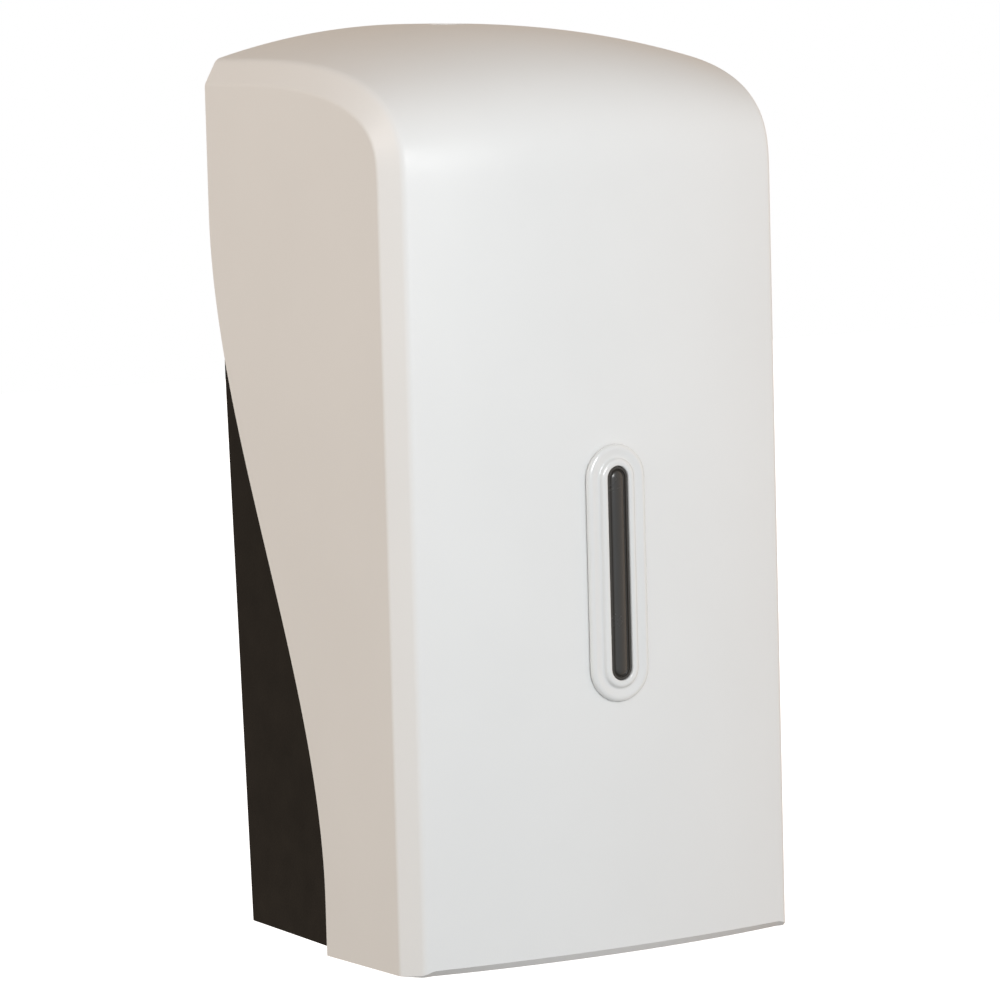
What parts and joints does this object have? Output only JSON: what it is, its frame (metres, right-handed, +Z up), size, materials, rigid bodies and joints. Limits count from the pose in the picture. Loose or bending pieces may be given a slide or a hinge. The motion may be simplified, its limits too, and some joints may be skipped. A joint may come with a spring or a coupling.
{
  "type": "wall mounted soap dispenser",
  "caption": "Touch-free wall-mounted soap dispenser: hinged crowned cover with a level window over a dark back tray, a soap reservoir and a battery pump module.",
  "frame": {"origin": "on the wall plane, at the middle of the back plate's rear face", "axes": "+X to the viewer's right, +Y into the wall, +Z up; the front looks along -Y"},
  "size_m": [0.144, 0.1254, 0.29],
  "materials": {
    "white_shell": "satin moulded ABS, warm white",
    "dark_shell": "fine textured moulded plastic, near black",
    "bezel_white": "polished moulded trim, warm white",
    "smoked": "smoked clear plastic",
    "tank_plastic": "translucent natural polypropylene",
    "grey_plastic": "moulded plastic, mid grey",
    "blue_plastic": "moulded plastic, blue",
    "acetal": "natural acetal",
    "steel": "plated steel",
    "brass": "turned brass",
    "rubber": "black elastomer",
    "silicone": "translucent silicone",
    "board_green": "solder-masked circuit board",
    "cell_wrap": "plastic-wrapped steel can",
    "led_green": "tinted clear lens"
  },
  "bodies": {
    "housing": {"back_plate": "dark_shell", "hinge_pin_left": "steel", "hinge_pin_right": "steel", "outlet_fitting": "acetal", "outlet_seal": "rubber", "module_case": "grey_plastic", "module_front": "grey_plastic", "module_screw_1": "steel", "module_screw_2": "steel", "module_screw_3": "steel", "module_screw_4": "steel", "gear_plate": "steel", "motor_frame": "steel", "motor_can": "steel", "idler_pin": "steel", "rotor_bush_front": "brass", "rotor_bush_rear": "brass", "pump_housing": "grey_plastic", "pump_cover": "grey_plastic", "pump_tube": "silicone", "pump_screw_1": "steel", "pump_screw_2": "steel", "pump_screw_3": "steel", "pump_screw_4": "steel", "nozzle": "rubber", "sensor_window": "smoked", "status_led": "led_green", "circuit_board": "board_green", "battery_tray_left": "grey_plastic", "battery_tray_right": "grey_plastic", "battery_contact_lower_left": "steel", "battery_contact_lower_right": "steel", "battery_contact_upper_left": "steel", "battery_contact_upper_right": "steel", "battery_cell_1": "cell_wrap", "battery_cell_2": "cell_wrap", "battery_cell_3": "cell_wrap", "battery_cell_4": "cell_wrap"},
    "cover": {"front_cover": "white_shell", "window_bezel": "bezel_white", "window_lens": "smoked", "lens_retainer": "grey_plastic"},
    "lock": {"lock_plug": "white_shell", "lock_cam": "grey_plastic", "lock_cam_screw": "steel"},
    "reservoir": {"reservoir_tank": "tank_plastic"},
    "cap_seal": {"filler_cap_seal": "rubber"},
    "filler_cap": {"filler_cap": "blue_plastic"},
    "power_switch": {"power_switch": "dark_shell"},
    "battery_door_left": {"battery_door_left": "grey_plastic"},
    "battery_door_right": {"battery_door_right": "grey_plastic"},
    "motor_rotor": {"motor_shaft": "steel", "motor_pinion": "brass"},
    "idler": {"idler_gear": "acetal"},
    "pump_rotor": {"pump_rotor": "acetal", "drive_gear": "acetal"},
    "roller_1": {"roller_1": "steel"},
    "roller_2": {"roller_2": "steel"},
    "roller_3": {"roller_3": "steel"}
  },
  "joints": [
    {"name": "cover_hinge", "type": "hinge", "parent": "housing", "child": "cover", "pos_m": [0, -0.067, -0.134], "axis": [1, 0, 0], "range_deg": [0, 90]},
    {"name": "lock_turn", "type": "hinge", "parent": "cover", "child": "lock", "pos_m": [0, -0.034, 0.14], "axis": [0, 0, 1], "range_deg": [0, 90]},
    {"name": "reservoir_lift", "type": "slide", "parent": "housing", "child": "reservoir", "axis": [0, 0, 1], "range_m": [0, 0.008]},
    {"name": "filler_cap_lift", "type": "slide", "parent": "reservoir", "child": "cap_seal", "axis": [0, 0, 1], "range_m": [0, 0.009]},
    {"name": "filler_cap_turn", "type": "hinge", "parent": "cap_seal", "child": "filler_cap", "pos_m": [0, -0.072, 0.11], "axis": [0, 0, 1], "range_deg": [0, 90]},
    {"name": "power_switch_slide", "type": "slide", "parent": "housing", "child": "power_switch", "axis": [1, 0, 0], "range_m": [0, 0.003]},
    {"name": "battery_door_left_slide", "type": "slide", "parent": "housing", "child": "battery_door_left", "axis": [0, 0, 1], "range_m": [0, 0.008]},
    {"name": "battery_door_right_slide", "type": "slide", "parent": "housing", "child": "battery_door_right", "axis": [0, 0, 1], "range_m": [0, 0.008]},
    {"name": "pump_rotor_spin", "type": "hinge", "parent": "housing", "child": "pump_rotor", "pos_m": [0.008, -0.075, -0.105], "axis": [0, 1, 0], "continuous": true},
    {"name": "idler_spin", "type": "hinge", "parent": "housing", "child": "idler", "pos_m": [-0.01391, -0.062, -0.098], "axis": [0, 1, 0], "continuous": true},
    {"name": "motor_spin", "type": "hinge", "parent": "housing", "child": "motor_rotor", "pos_m": [-0.03391, -0.057, -0.098], "axis": [0, 1, 0], "continuous": true},
    {"name": "roller_1_spin", "type": "hinge", "parent": "pump_rotor", "child": "roller_1", "pos_m": [0.008, -0.0845, -0.096], "axis": [0, 1, 0], "continuous": true},
    {"name": "roller_2_spin", "type": "hinge", "parent": "pump_rotor", "child": "roller_2", "pos_m": [0.00021, -0.0845, -0.1095], "axis": [0, 1, 0], "continuous": true},
    {"name": "roller_3_spin", "type": "hinge", "parent": "pump_rotor", "child": "roller_3", "pos_m": [0.01579, -0.0845, -0.1095], "axis": [0, 1, 0], "continuous": true}
  ],
  "couplings": [
    {"joint": "idler_spin", "follows": "pump_rotor_spin", "ratio": -3.6},
    {"joint": "motor_spin", "follows": "pump_rotor_spin", "ratio": 10.8},
    {"joint": "roller_1_spin", "follows": "pump_rotor_spin", "ratio": -3.5714},
    {"joint": "roller_2_spin", "follows": "pump_rotor_spin", "ratio": -3.5714},
    {"joint": "roller_3_spin", "follows": "pump_rotor_spin", "ratio": -3.5714}
  ]
}
